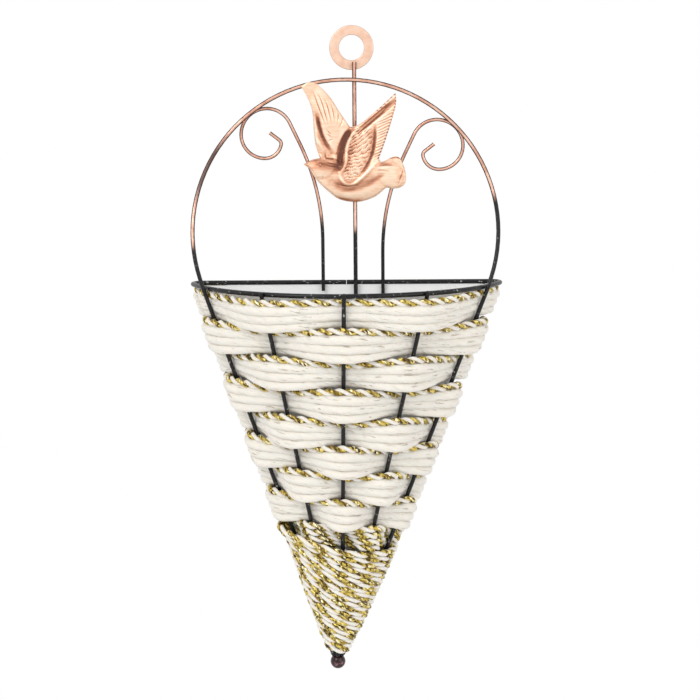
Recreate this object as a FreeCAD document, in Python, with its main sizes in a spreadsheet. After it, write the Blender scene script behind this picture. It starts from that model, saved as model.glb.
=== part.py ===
"""Wall planter: a wire cone with a flat back, woven with paper rope and gold cord.

Millimetres. +Z is up, the wall is towards +Y and the bowed front towards -Y. The origin
is the centre of the hole that the planter hangs by, halfway through the washer.
"""
import FreeCAD, Part
import Sketcher
import math
import os
from FreeCAD import Placement, Rotation, Vector

doc = FreeCAD.newDocument("wall_planter")
sheet = doc.addObject("Spreadsheet::Sheet", "sizes")

SIZES = [
    # hanging washer
    ("washer_radius", 18.5),
    ("hole_radius", 10.5),
    ("washer_thickness", 3.0),
    # wires, and the hair's breadth left at each weld
    ("wire_radius", 1.75),
    ("rim_wire_radius", 2.0),
    ("scroll_wire_radius", 1.5),
    ("weld_gap", 0.05),
    # spine
    ("spine_x", 2.2),
    ("spine_below_hole", 1.5),
    ("spine_tail", 20.0),
    # mouth: a flat back bar and a bowed front
    ("mouth_x", -5.7),
    ("mouth_drop", 196.9),
    ("mouth_half_width", 132.4),
    ("mouth_depth", 103.0),
    ("mouth_corner_radius", 8.0),
    ("rim_joint_gap", 0.4),
    # hoop
    ("hoop_top_drop", 26.4),
    ("hoop_leg_run", 9.0),
    ("hoop_bend_room", 0.4),
    ("wire_bend_radius", 60.0),
    # stakes
    ("stake_step", 28.4),
    ("stake_rise", 2.5),
    ("stake_end_round", 1.2),
    ("back_stake_inset", 9.9),
    ("waist_drop", 227.0),
    ("waist_share", 0.32),
    ("waist_x", -10.0),
    # tip
    ("tip_x", -15.7),
    ("tip_wire_gap", 0.15),
    ("ball_drop", 332.0),
    ("ball_radius", 6.5),
    # scrolls
    ("scroll_x", 25.3),
    ("scroll_tail", 7.0),
    ("scroll_leg", 36.3),
    ("scroll_sway_radius", 190.0),
    ("scroll_sway", 25.5),
    ("scroll_neck", 19.0),
    ("scroll_top_radius", 21.0),
    ("scroll_side_radius", 21.8),
    ("scroll_under_radius", 19.8),
    ("scroll_inner_radius", 13.8),
    ("scroll_inner_turn", 80.0),
    ("scroll_hook_radius", 4.0),
    ("scroll_hook_turn", 62.0),
    ("scroll_hook_run", 10.0),
    ("scroll_hoop_slant", 1.03),
    ("scroll_right_drop", 10.0),
    # woven band and cords
    ("rope_radius", 3.0),
    ("cord_radius", 2.35),
    ("strand_gap", 0.35),
    ("weave_clearance", 0.3),
    ("corner_clearance", 0.95),
    ("weave_bend_radius", 12.0),
    ("row_pitch", 24.3),
    ("row_turns", 8),
    ("row_easing_turns", 4),
    ("strand_head_run", 18.0),
    ("strand_end_gap", 4.0),
    ("band_cords", 4),
    ("band_tail_share", 0.15),
    ("winding_turns", 14),
    ("winding_lead", 2.0),
    ("winding_tilt_start", 13.0),
    ("winding_tilt_growth", 0.9),
    ("winding_tilt_end", 5.0),
    # liner
    ("liner_thickness", 1.0),
    ("liner_gap", 4.8),
    ("liner_seam_gap", 0.3),
    ("liner_back_clearance", 0.175),
    # dove
    ("dove_x", -1.9),
    ("dove_drop", 97.2),
    ("dove_length", 87.0),
    ("dove_wing_below_hoop", 4.5),
    ("dove_tail_height", 4.0),
    ("dove_thickness", 1.2),
    ("dove_body_length", 54.0),
    ("dove_body_height", 26.0),
    ("dove_body_relief", 5.0),
]
for number, (alias, value) in enumerate(SIZES, start=1):
    sheet.set("A%d" % number, alias)
    sheet.set("B%d" % number, str(value))
    sheet.setAlias("B%d" % number, alias)
doc.recompute()


def size(alias):
    return float(sheet.get(alias))


# ---------------------------------------------------------------- shared places
WIRE = size("wire_radius")
RIM = size("rim_wire_radius")
WELD = size("weld_gap")
MOUTH_Z = -size("mouth_drop")
MOUTH_X = size("mouth_x")
SPINE_Y = -size("washer_thickness") / 2 - WELD - WIRE
BAR_Y = SPINE_Y + WIRE + WELD + RIM
HALF = size("mouth_half_width")
DEPTH = size("mouth_depth")
ARC_RADIUS = (HALF ** 2 + DEPTH ** 2) / (2 * DEPTH)
ARC_Y = BAR_Y + ARC_RADIUS - DEPTH
WAIST_Z = MOUTH_Z - size("waist_drop")
BALL_Z = MOUTH_Z - size("ball_drop")
STAKES = ["back_left", "side_left", "left", "centre", "right", "side_right", "back_right"]
RING_RADIUS = (WIRE + size("tip_wire_gap")) / math.sin(math.pi / len(STAKES))
RING_Y = BAR_Y - RING_RADIUS * math.cos(math.pi / len(STAKES))
TIP_Z = BALL_Z + math.sqrt(size("ball_radius") ** 2 - (RING_RADIUS - WIRE) ** 2) + WELD
ROPE = size("rope_radius")
CORD = size("cord_radius")


def blend(low, high, share):
    return low + (high - low) * share


def mouth_point(stake):
    """Where a stake's axis passes the height of the rim."""
    place = STAKES.index(stake) - STAKES.index("centre")
    if stake.startswith("back"):
        x = math.copysign(HALF - size("back_stake_inset"), place)
        return Vector(MOUTH_X + x, BAR_Y, MOUTH_Z)
    angle = math.radians(place * size("stake_step"))
    lean = DEPTH * (1 - size("waist_share")) / size("waist_drop")
    radius = ARC_RADIUS + (RIM + WELD + WIRE) * math.hypot(1, lean)
    if stake.startswith("side"):
        radius += size("hoop_bend_room")
    x = MOUTH_X + radius * math.sin(angle)
    return Vector(x, ARC_Y - radius * math.cos(angle), MOUTH_Z)


def waist_point(stake):
    """Where a stake bends from the basket's cone to the gathered tip."""
    mouth = mouth_point(stake)
    share = size("waist_share")
    x = size("waist_x") + share * (mouth.x - MOUTH_X)
    return Vector(x, BAR_Y + share * (mouth.y - BAR_Y), WAIST_Z)


def tip_point(stake):
    """A stake's end in the ring of seven on top of the ball."""
    place = STAKES.index(stake) - STAKES.index("centre")
    angle = place * 2 * math.pi / len(STAKES)
    x = size("tip_x") + RING_RADIUS * math.sin(angle)
    return Vector(x, RING_Y - RING_RADIUS * math.cos(angle), TIP_Z)


def stake_at(stake, z):
    """A stake's axis at one height."""
    upper, lower = mouth_point(stake), waist_point(stake)
    if z < WAIST_Z:
        upper, lower = lower, tip_point(stake)
    return upper + (lower - upper) * ((upper.z - z) / (upper.z - lower.z))


# ---------------------------------------------------------------- wire work
BEND_SHARE = 0.45  # of the shorter run beside a corner, the most that its arc may take
TUBE_TOLERANCE = 0.01


def bent_edges(points, bends):
    """Straight runs through the points, joined by tangent arcs. bends holds the radius
    wanted at each corner, or one radius for all."""
    if not isinstance(bends, list):
        bends = [bends] * len(points)
    edges = []
    start = points[0]
    for before, corner, after, bend in zip(points, points[1:], points[2:], bends[1:]):
        into = (corner - before).normalize()
        out = (after - corner).normalize()
        half_turn = into.getAngle(out) / 2
        shorter = min((corner - before).Length, (after - corner).Length)
        radius = min(bend, BEND_SHARE * shorter / math.tan(half_turn))
        setback = radius * math.tan(half_turn)
        first = corner - into * setback
        last = corner + out * setback
        inward = (out - into).normalize()
        middle = corner + inward * (radius / math.cos(half_turn) - radius)
        edges.append(Part.LineSegment(start, first).toShape())
        edges.append(Part.Arc(first, middle, last).toShape())
        start = last
    edges.append(Part.LineSegment(start, points[-1]).toShape())
    return edges


def tube(edges, radius):
    """A round wire or rope along a smooth path."""
    path = Part.Wire(edges)
    start = edges[0].valueAt(edges[0].FirstParameter)
    along = edges[0].tangentAt(edges[0].FirstParameter)
    section = Part.Wire(Part.makeCircle(radius, start, along))
    solid = path.makePipeShell([section], True, False)
    if not solid.isValid():
        raise ValueError("tube isn't valid")
    wanted = math.pi * radius ** 2 * path.Length
    if abs(solid.Volume / wanted - 1) > TUBE_TOLERANCE:
        raise ValueError("tube's volume is %.3f of its section times its length"
                         % (solid.Volume / wanted))
    return solid


def rounded_end(solid, radius, end):
    """Round the edge of the flat end whose centre is given."""
    rims = [edge for edge in solid.Edges
            if edge.BoundBox.Center.distanceToPoint(end) < radius / 2
            and edge.BoundBox.DiagonalLength < 3 * radius]
    return solid.makeFillet(size("stake_end_round"), rims)


def add_shape(name, shape, placement=None):
    feature = doc.addObject("Part::Feature", name)
    feature.Label = name
    feature.Shape = shape
    if placement:
        feature.Placement = placement
    return feature


# ---------------------------------------------------------------- hanging washer
washer = doc.addObject("PartDesign::Body", "hanging_washer")
washer.Label = "hanging_washer"
ring = washer.newObject("Sketcher::SketchObject", "washer_ring")
front_plane = [f for f in washer.Origin.OriginFeatures if f.Role == "XZ_Plane"][0]
ring.AttachmentSupport = [(front_plane, "")]
ring.MapMode = "FlatFace"
for alias in ("washer_radius", "hole_radius"):
    circle = ring.addGeometry(Part.Circle(Vector(), Vector(0, 0, 1), size(alias)))
    ring.addConstraint(Sketcher.Constraint("Coincident", circle, 3, -1, 1))
    radius = ring.addConstraint(Sketcher.Constraint("Radius", circle, size(alias)))
    ring.setExpression("Constraints[%d]" % radius, "sizes." + alias)
washer_pad = washer.newObject("PartDesign::Pad", "washer_pad")
washer_pad.Profile = ring
washer_pad.Midplane = True
washer_pad.setExpression("Length", "sizes.washer_thickness")

# ---------------------------------------------------------------- spine
spine = doc.addObject("Part::Cylinder", "spine_wire")
spine.Label = "spine_wire"
spine.setExpression("Radius", "sizes.wire_radius")
spine.setExpression("Height", "sizes.mouth_drop + sizes.spine_tail"
                    " - sizes.hole_radius - sizes.spine_below_hole")
spine.Placement = Placement(Vector(size("spine_x"), SPINE_Y, MOUTH_Z - size("spine_tail")),
                            Rotation())

# ---------------------------------------------------------------- rim
def rim_shape():
    """The D of the mouth, its two ends butted in the middle of the back bar."""
    corner = size("mouth_corner_radius")
    reach = ARC_RADIUS - corner
    drop = ARC_Y - (BAR_Y - corner)
    corner_x = math.sqrt(reach ** 2 - drop ** 2)
    arc_centre = Vector(MOUTH_X, ARC_Y, MOUTH_Z)
    joint = size("rim_joint_gap") / 2

    def corner_points(side):
        centre = Vector(MOUTH_X + side * corner_x, BAR_Y - corner, MOUTH_Z)
        outward = (centre - arc_centre).normalize()
        halfway = (outward + Vector(0, 1, 0)).normalize()
        return [centre + way * corner for way in (Vector(0, 1, 0), halfway, outward)]

    left, right = corner_points(-1), corner_points(1)
    front = Vector(MOUTH_X, BAR_Y - DEPTH, MOUTH_Z)
    return tube([
        Part.LineSegment(Vector(MOUTH_X + joint, BAR_Y, MOUTH_Z), right[0]).toShape(),
        Part.Arc(*right).toShape(),
        Part.Arc(right[2], front, left[2]).toShape(),
        Part.Arc(*reversed(left)).toShape(),
        Part.LineSegment(left[0], Vector(MOUTH_X - joint, BAR_Y, MOUTH_Z)).toShape(),
    ], RIM)


add_shape("rim_wire", rim_shape())

# ---------------------------------------------------------------- hoop
HOOP_TOP = Vector(MOUTH_X, SPINE_Y - 2 * WIRE - WELD, -size("hoop_top_drop"))
HOOP_SIDES = [mouth_point("side_left"), mouth_point("side_right")]
HOOP_FOOT = (HOOP_SIDES[0] + HOOP_SIDES[1]) / 2


def hoop_shape():
    """One wire: tip, side stake, hoop, other side stake, tip."""
    height = (HOOP_TOP - HOOP_FOOT).Length
    half = (HOOP_SIDES[1] - HOOP_SIDES[0]).Length / 2
    leg = size("hoop_leg_run")
    radius = (height ** 2 + half ** 2 - leg ** 2) / (2 * height)
    upward = (HOOP_TOP - HOOP_FOOT).normalize()
    centre = HOOP_TOP - upward * radius
    bearing = math.atan2(height - radius, half) - math.atan2(leg, radius)
    sideways = Vector(math.cos(bearing), 0, 0) * radius
    below = upward * (math.sin(bearing) * radius)
    left, right = centre - sideways - below, centre + sideways - below
    up_left = [tip_point("side_left"), waist_point("side_left"), HOOP_SIDES[0], left]
    down_right = [right, HOOP_SIDES[1], waist_point("side_right"), tip_point("side_right")]
    bend = size("wire_bend_radius")
    over = [Part.Arc(left, HOOP_TOP, right).toShape()]
    return tube(bent_edges(up_left, bend) + over + bent_edges(down_right, bend), WIRE)


add_shape("hoop_wire", hoop_shape())

# ---------------------------------------------------------------- straight stakes
for stake, name in (("left", "front_stake_left"), ("centre", "front_stake_centre"),
                    ("right", "front_stake_right")):
    top = stake_at(stake, MOUTH_Z + size("stake_rise"))
    points = [top, waist_point(stake), tip_point(stake)]
    solid = tube(bent_edges(points, size("wire_bend_radius")), WIRE)
    add_shape(name, rounded_end(solid, WIRE, top))

for stake in ("back_left", "back_right"):
    slope = mouth_point(stake) - waist_point(stake)
    end_tilt = WIRE * abs(slope.x) / slope.Length
    top = stake_at(stake, MOUTH_Z - RIM - WELD - end_tilt)
    points = [top, waist_point(stake), tip_point(stake)]
    name = "back_stake_" + stake.split("_")[1]
    add_shape(name, tube(bent_edges(points, size("wire_bend_radius")), WIRE))

# ---------------------------------------------------------------- tip ball
ball = doc.addObject("Part::Sphere", "tip_ball")
ball.Label = "tip_ball"
ball.setExpression("Radius", "sizes.ball_radius")
ball.Placement = Placement(Vector(size("tip_x"), RING_Y, BALL_Z), Rotation())

# ---------------------------------------------------------------- scrolls
def traced_edges(start, heading, side, moves):
    """A flat path in the XZ plane: each move is a run's length, or a bend's radius
    and turn in degrees. side is -1 for a path that turns left, 1 for its mirror."""
    edges = []
    for move in moves:
        along = Vector(side * math.sin(heading), 0, math.cos(heading))
        if len(move) == 1:
            end = start + along * move[0]
            edges.append(Part.LineSegment(start, end).toShape())
        else:
            radius, turn = move[0], math.radians(move[1])
            centre = start + Vector(side * along.z, 0, -side * along.x) * radius
            spokes = [Rotation(Vector(0, 1, 0), side * math.degrees(turn * share))
                      .multVec(start - centre) for share in (0.5, 1)]
            end = centre + spokes[1]
            edges.append(Part.Arc(start, centre + spokes[0], end).toShape())
            heading += turn
        start = end
    return edges


QUARTER_TURN = 90
SCROLL_MOVES = [
    (size("scroll_tail") + size("scroll_leg"),),
    (size("scroll_sway_radius"), size("scroll_sway")),
    (size("scroll_neck"),),
    (size("scroll_top_radius"), QUARTER_TURN - size("scroll_sway")),
    (size("scroll_side_radius"), QUARTER_TURN),
    (size("scroll_under_radius"), QUARTER_TURN),
    (size("scroll_inner_radius"), size("scroll_inner_turn")),
    (size("scroll_hook_radius"), size("scroll_hook_turn")),
    (size("scroll_hook_run"),),
]
SCROLL_WIRE = size("scroll_wire_radius")
SCROLL_Y = BAR_Y - RIM - WELD - SCROLL_WIRE


def hoop_y(z):
    """Depth of the leaning hoop's plane at one height."""
    return blend(HOOP_FOOT.y, HOOP_TOP.y, (z - HOOP_FOOT.z) / (HOOP_TOP.z - HOOP_FOOT.z))


for name, side, drop in (("scroll_left", -1, 0),
                         ("scroll_right", 1, size("scroll_right_drop"))):
    foot = Vector(side * size("scroll_x"), SCROLL_Y, MOUTH_Z - size("scroll_tail") - drop)
    path = traced_edges(foot, 0, side, SCROLL_MOVES)
    peak = max(edge.BoundBox.ZMax for edge in path)
    touch_y = hoop_y(peak) + (WIRE + WELD + SCROLL_WIRE) * size("scroll_hoop_slant")
    rise = peak - MOUTH_Z
    lean = math.degrees(math.atan2(SCROLL_Y - touch_y, rise))
    upright = tube(path, SCROLL_WIRE)
    pivot = Vector(0, SCROLL_Y, MOUTH_Z)
    turned = Placement(Vector(), Rotation(Vector(1, 0, 0), lean), pivot)
    add_shape(name, upright, turned)

# ---------------------------------------------------------------- woven band
# Three ropes under one cord go down in one long spiral. They pass the front stakes on
# the inner and the outer side by turns, and the two back stakes always behind.
ROW_SHARE = {"back_left": 0.0, "side_left": 0.12, "left": 0.20, "centre": 0.28,
             "right": 0.36, "side_right": 0.47, "back_right": 0.66}
BAND_TOP = MOUTH_Z - RIM - size("weave_clearance")
CORNER_ROUNDS = 4


def row_height(turn, stake):
    """The band's top edge at a stake. The first turns run level under the rim in front."""
    ease = max(0, min(1, turn / size("row_easing_turns")))
    return BAND_TOP - size("row_pitch") * (turn + ease * ROW_SHARE[stake])


def outward(stake, z):
    """Flat direction from the basket's inside through a stake."""
    ring = [stake_at(name, z) for name in STAKES]
    place = STAKES.index(stake)
    to_next = (ring[(place + 1) % len(ring)] - ring[place]).normalize()
    to_last = (ring[place - 1] - ring[place]).normalize()
    return (to_next + to_last).normalize() * -1


def standoff(stake, z, direction, radius):
    """Level distance from a leaning stake's axis to a strand that passes it. Round a
    back stake the strand turns so far that the whole lean counts."""
    run = stake_at(stake, z) - stake_at(stake, z - 1)
    if stake.startswith("back"):
        return (WIRE + size("corner_clearance") + radius) * math.hypot(1, run.x, run.y)
    return (WIRE + size("weave_clearance") + radius) * math.hypot(1, run.dot(direction))


def strand_corners(passes, radius):
    """Corner points and bend radii of a strand. Each pass is a stake, a height and the
    side on which the strand goes by: 1 outside, -1 inside. Where the strand bends round
    the stake, its corner stands off by what the arc cuts; at the sharp bends round the
    back stakes it also lies in line with the bend."""
    axes = [stake_at(stake, z) for stake, z, side in passes]
    ways = [outward(stake, z) * side for stake, z, side in passes]
    stands = [standoff(stake, z, way, radius) for (stake, z, side), way in zip(passes, ways)]
    points = [axis + way * stand for axis, way, stand in zip(axes, ways, stands)]
    bends = [size("weave_bend_radius")] * len(points)
    for _ in range(CORNER_ROUNDS):
        previous = list(points)
        for place in range(1, len(passes) - 1):
            into = previous[place] - previous[place - 1]
            out = previous[place + 1] - previous[place]
            half_turn = into.getAngle(out) / 2
            longest = BEND_SHARE * min(into.Length, out.Length) / math.tan(half_turn)
            bends[place] = min(size("weave_bend_radius"), longest)
            if passes[place][0].startswith("back"):
                bends[place] = min(stands[place], longest)
            way, reach = ways[place], stands[place]
            inward = out.normalize() - into.normalize()
            if passes[place][0].startswith("back"):
                way = Vector(-inward.x, -inward.y, 0).normalize()
            if inward.dot(way) < 0:
                reach += max(bends[place], stands[place]) * (1 / math.cos(half_turn) - 1)
            points[place] = axes[place] + way * reach
    return points, bends


def woven_strand(first_turn, turns, below_top, radius, tail_share=1):
    """One strand of the band. It starts just behind one back stake and ends on the flat
    back, after a share of it or short of the next strand's start."""
    last_turn = first_turn + turns - 1
    passes = [("back_right", row_height(first_turn - 1, "back_right") - below_top, 1)]
    for turn in range(first_turn, last_turn + 1):
        for place, stake in enumerate(STAKES):
            inside = (place + turn) % 2 == 1 and not stake.startswith("back")
            passes.append((stake, row_height(turn, stake) - below_top, -1 if inside else 1))
    passes.append(("back_left", row_height(last_turn + 1, "back_left") - below_top, 1))
    corners, bends = strand_corners(passes, radius)
    corners[0] = blend(corners[1], corners[0], HEAD_RUN / (corners[0] - corners[1]).Length)
    tail = (corners[-1] - corners[-2]).Length
    tail_run = min(tail * tail_share, tail - HEAD_RUN - size("strand_end_gap"))
    corners[-1] = blend(corners[-2], corners[-1], tail_run / tail)
    return tube(bent_edges(corners, bends), radius)


HEAD_RUN = size("strand_head_run")
ROPE_STEP = 2 * ROPE + size("strand_gap")
CORD_STEP = 2 * CORD + size("strand_gap")
ROW_TURNS = int(size("row_turns"))
ROPES = ["white_rope_upper", "white_rope_middle", "white_rope_lower"]

add_shape("gold_cord", woven_strand(0, ROW_TURNS, CORD, CORD))
for place, name in enumerate(ROPES):
    depth = CORD_STEP + ROPE + place * ROPE_STEP
    add_shape(name, woven_strand(0, ROW_TURNS, depth, ROPE))

band_cords = int(size("band_cords"))
add_shape("gold_band", Part.makeCompound([
    woven_strand(ROW_TURNS, 1, CORD + place * CORD_STEP, CORD, size("band_tail_share"))
    for place in range(band_cords)]))

# ---------------------------------------------------------------- wound tip
WINDING_TOP = (row_height(ROW_TURNS, "back_left") - band_cords * CORD_STEP - CORD
               - size("winding_lead"))


def winding_passes():
    """Every stake in turn, from the band down to the ball. Each turn is a loop that
    hangs lower on the right; the tilt grows at first and then fades towards the tip."""
    turns = int(size("winding_turns"))
    tilt_start, tilt_end = size("winding_tilt_start"), size("winding_tilt_end")
    middle = WINDING_TOP - tilt_start / 2
    pitch = (middle - tilt_end / 2 - TIP_Z - CORD) / turns
    left, right = stake_at("back_left", WAIST_Z).x, stake_at("back_right", WAIST_Z).x
    passes = [("back_right", middle, 1)]
    for turn in range(turns):
        for place, stake in enumerate(STAKES):
            gone = turn + place / len(STAKES)
            tilt = min(tilt_start + size("winding_tilt_growth") * gone,
                       tilt_end + size("winding_tilt_growth") * (turns - gone))
            share = (waist_point(stake).x - left) / (right - left)
            passes.append((stake, middle - pitch * gone + tilt * (0.5 - share), 1))
    return passes


def least_gap(edges, radius, step, skip):
    """Smallest gap between a tube and itself, on points along its path; neighbours
    closer than skip along the path aren't compared."""
    path = Part.Wire(edges)
    points = path.discretize(Distance=step)
    apart = int(skip / step)
    least = min((points[a] - points[b]).Length
                for a in range(len(points)) for b in range(a + apart, len(points)))
    return least - 2 * radius


corners, bends = strand_corners(winding_passes(), CORD)
corners[0] = blend(corners[1], corners[0], HEAD_RUN / (corners[0] - corners[1]).Length)
winding_path = bent_edges(corners, bends)
add_shape("gold_winding", tube(winding_path, CORD))
print("winding: least gap to itself %.2f mm"
      % least_gap(winding_path, CORD, 2.0, 6 * CORD))

# ---------------------------------------------------------------- liner
FILM = size("liner_thickness")
SEAM = size("liner_seam_gap")
LINER_TOP = MOUTH_Z - RIM - SEAM
STAKE_CIRCLE = ARC_Y - mouth_point("centre").y


def film_section(z, thickness_in, thickness_out):
    """Closed outline of the bowed film at one height: two arcs and their end lines.
    The two depths are measured inwards from the film's outer face."""
    centre_stake = stake_at("centre", z)
    share = (BAR_Y - centre_stake.y) / (BAR_Y - mouth_point("centre").y)
    centre = Vector(centre_stake.x, BAR_Y + share * (ARC_Y - BAR_Y), z)
    strand_room = WIRE + size("weave_clearance") + 2 * ROPE + size("liner_gap")
    end_y = BAR_Y - WIRE - SEAM - FILM / 2

    def arc_points(radius):
        half_angle = math.acos((centre.y - end_y) / radius)
        return [centre + Vector(math.sin(half_angle * way), -math.cos(half_angle * way), 0)
                * radius for way in (-1, 0, 1)]

    outer = arc_points(share * STAKE_CIRCLE - strand_room - thickness_in)
    inner = arc_points(share * STAKE_CIRCLE - strand_room - thickness_out)
    return outer, inner


def film_wire(z):
    outer, inner = film_section(z, 0, FILM)
    return Part.Wire([
        Part.Arc(*outer).toShape(),
        Part.LineSegment(outer[2], inner[2]).toShape(),
        Part.Arc(*reversed(inner)).toShape(),
        Part.LineSegment(inner[0], outer[0]).toShape(),
    ])


def liner_front_shape():
    """The bowed half of the film pocket with its floor."""
    wall = Part.makeLoft([film_wire(LINER_TOP), film_wire(WAIST_Z)], True, True)
    edge, _ = film_section(WAIST_Z, 0, FILM)
    outline = Part.Wire([Part.Arc(*edge).toShape(),
                         Part.LineSegment(edge[2], edge[0]).toShape()])
    floor = Part.Face(outline).extrude(Vector(0, 0, -FILM))
    return wall.fuse(floor).removeSplitter()


add_shape("liner_front", liner_front_shape())

back_corners = []
for stake, side in (("back_left", 1), ("back_right", -1)):
    for z in (LINER_TOP, WAIST_Z)[::side]:
        x = stake_at(stake, z).x + side * (WIRE + size("liner_back_clearance") + SEAM)
        back_corners.append(Vector(x, BAR_Y + FILM / 2, z))
back_outline = Part.makePolygon(back_corners + back_corners[:1])
add_shape("liner_back", Part.Face(back_outline).extrude(Vector(0, -FILM, 0)))

# ---------------------------------------------------------------- dove
# Flat outline, x to the tail and z up from the root of the wings. Each list is one
# smooth curve, and the curves meet at corners.
DOVE_CURVES = [
    [(-38.5, 1), (-32, 4.5), (-25, 6)],
    [(-25, 6), (-28.5, 17), (-30, 30.5), (-31, 45), (-35, 56.5), (-40, 65.5)],
    [(-40, 65.5), (-34, 69), (-26.5, 67.5)],
    [(-26.5, 67.5), (-16, 56.5), (-8, 44), (0.5, 31.5)],
    [(0.5, 31.5), (7.5, 33.5), (23.5, 46), (38.5, 59.5)],
    [(38.5, 59.5), (39, 51.5), (35.5, 38), (29.5, 19), (24.5, 5.5)],
    [(24.5, 5.5), (26.5, 2.5), (33.5, 5.5), (39, 7), (42, 5.5)],
    [(42, 5.5), (45, -0.5), (47, -9), (46, -16), (42, -19), (35.5, -20), (30.5, -19)],
    [(30.5, -19), (21, -26.5), (9, -30.5), (-0.5, -30.5), (-10, -28), (-17.5, -22.5),
     (-23.5, -17), (-29.5, -10), (-33, -3.5)],
    [(-33, -3.5), (-38.5, 1)],
]
DOVE_BODY = (-2, -10)


def dove_shape():
    """Pressed sheet: the outline, with the body raised as a hollow oval."""
    reach = [x for curve in DOVE_CURVES for x, z in curve]
    scale = size("dove_length") / (max(reach) - min(reach))
    sheet_thickness = size("dove_thickness")
    edges = []
    for curve in DOVE_CURVES:
        points = [Vector(x, 0, z) * scale for x, z in curve]
        if len(points) == 2:
            edges.append(Part.LineSegment(*points).toShape())
        else:
            line = Part.BSplineCurve()
            line.interpolate(points)
            edges.append(line.toShape())
    plate = Part.Face(Part.Wire(edges)).extrude(Vector(0, -sheet_thickness, 0))

    def oval(shrink):
        stretch = FreeCAD.Matrix()
        stretch.scale(size("dove_body_length") / 2 - shrink,
                      size("dove_body_relief") + sheet_thickness - shrink,
                      size("dove_body_height") / 2 - shrink)
        shape = Part.makeSphere(1).transformGeometry(stretch)
        shape.translate(Vector(DOVE_BODY[0], 0, DOVE_BODY[1]) * scale)
        return shape

    room = size("dove_length")
    front_half = Part.makeBox(2 * room, room, 2 * room, Vector(-room, -room, -room))
    raised = oval(0).common(front_half)
    return plate.fuse(raised).cut(oval(sheet_thickness)).removeSplitter()


def scroll_front_y(name, z):
    """Depth of a scroll's front at one height."""
    room = HALF
    level = Part.makePlane(2 * room, 2 * room, Vector(-room, -room, z))
    return doc.getObject(name).Shape.common(level).BoundBox.YMin


# The tip of the far wing lies on the front of the hoop, the tail on the right scroll.
hoop_slope = math.atan2(HOOP_TOP.y - HOOP_FOOT.y, HOOP_TOP.z - HOOP_FOOT.z)
hoop_front_y = hoop_y(HOOP_TOP.z - size("dove_wing_below_hoop")) - WIRE / math.cos(hoop_slope)
tail_z = size("dove_tail_height") - size("dove_drop")
dove_y = min(hoop_front_y, scroll_front_y("scroll_right", tail_z)) - WELD
add_shape("dove_ornament", dove_shape(),
          Placement(Vector(size("dove_x"), dove_y, -size("dove_drop")), Rotation()))

# ---------------------------------------------------------------- check and write
doc.recompute()
PIECES = [feature for feature in doc.Objects
          if feature.TypeId in ("PartDesign::Body", "Part::Cylinder", "Part::Sphere",
                                "Part::Feature")]
for feature in doc.Objects:
    if "Invalid" in feature.State or "Error" in feature.State:
        raise ValueError(feature.Name + " failed: " + str(feature.State))
for piece in PIECES:
    if piece.Shape.isNull() or not piece.Shape.isValid():
        raise ValueError(piece.Label + " has no valid shape")

os.makedirs("parts", exist_ok=True)
for piece in PIECES:
    piece.Shape.exportStep("parts/%s.step" % piece.Label)
print("%d pieces written" % len(PIECES))
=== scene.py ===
import math

import bpy
import numpy as np
from mathutils import Matrix, Vector
from mathutils.geometry import delaunay_2d_cdt


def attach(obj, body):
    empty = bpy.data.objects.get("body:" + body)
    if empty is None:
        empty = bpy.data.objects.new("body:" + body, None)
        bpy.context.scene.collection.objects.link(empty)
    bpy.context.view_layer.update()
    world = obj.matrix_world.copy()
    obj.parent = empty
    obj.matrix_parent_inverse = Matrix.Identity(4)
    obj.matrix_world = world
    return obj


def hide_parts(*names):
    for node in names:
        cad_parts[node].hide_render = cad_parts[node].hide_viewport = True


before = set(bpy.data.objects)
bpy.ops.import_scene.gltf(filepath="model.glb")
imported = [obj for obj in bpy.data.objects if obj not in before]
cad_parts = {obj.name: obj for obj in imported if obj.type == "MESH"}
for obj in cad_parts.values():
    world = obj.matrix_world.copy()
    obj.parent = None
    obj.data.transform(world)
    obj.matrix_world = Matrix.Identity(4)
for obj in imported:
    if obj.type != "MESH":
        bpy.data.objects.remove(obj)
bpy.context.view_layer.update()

# ---------------------------------------------------------------- hanging washer
# A stamped steel washer with a rolled front edge, plated pale copper. The planter hangs
# by its hole, and the end of the spine wire is spot-welded to its front.
WASHER_OUT, WASHER_IN, WASHER_HALF = 18.5, 10.5, 1.5
WASHER_EDGE = 0.7


def keep(name, vertices, faces, smooth=True):
    """A mesh object from millimetres, with its place in its mesh."""
    mesh = bpy.data.meshes.new(name)
    mesh.from_pydata([Vector(v) * 0.001 for v in vertices], [], faces)
    mesh.validate()
    mesh.polygons.foreach_set("use_smooth", [smooth] * len(mesh.polygons))
    thing = bpy.data.objects.new(name, mesh)
    bpy.context.collection.objects.link(thing)
    return thing


def ring_of(name, outline, steps):
    """Turns a closed (radius, y) outline about the washer's axis."""
    vertices, faces = [], []
    for step in range(steps):
        angle = 2 * math.pi * step / steps
        vertices += [(r * math.cos(angle), y, r * math.sin(angle)) for r, y in outline]
    count = len(outline)
    for step in range(steps):
        here, there = step * count, (step + 1) % steps * count
        for a in range(count):
            b = (a + 1) % count
            faces.append((here + a, here + b, there + b, there + a))
    return keep(name, vertices, faces)


def rounded(corners, radius, steps=5):
    """A convex outline with its corners rounded."""
    outline = []
    for before, corner, after in zip([corners[-1]] + corners, corners, corners[1:] + corners):
        into = (Vector(corner) - Vector(before)).normalized()
        out = (Vector(after) - Vector(corner)).normalized()
        centre = Vector(corner) + (out - into) * radius
        for step in range(steps + 1):
            turn = math.pi / 2 * step / steps
            outline.append(tuple(centre - out * math.cos(turn) * radius
                                 + into * math.sin(turn) * radius))
    return outline


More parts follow.
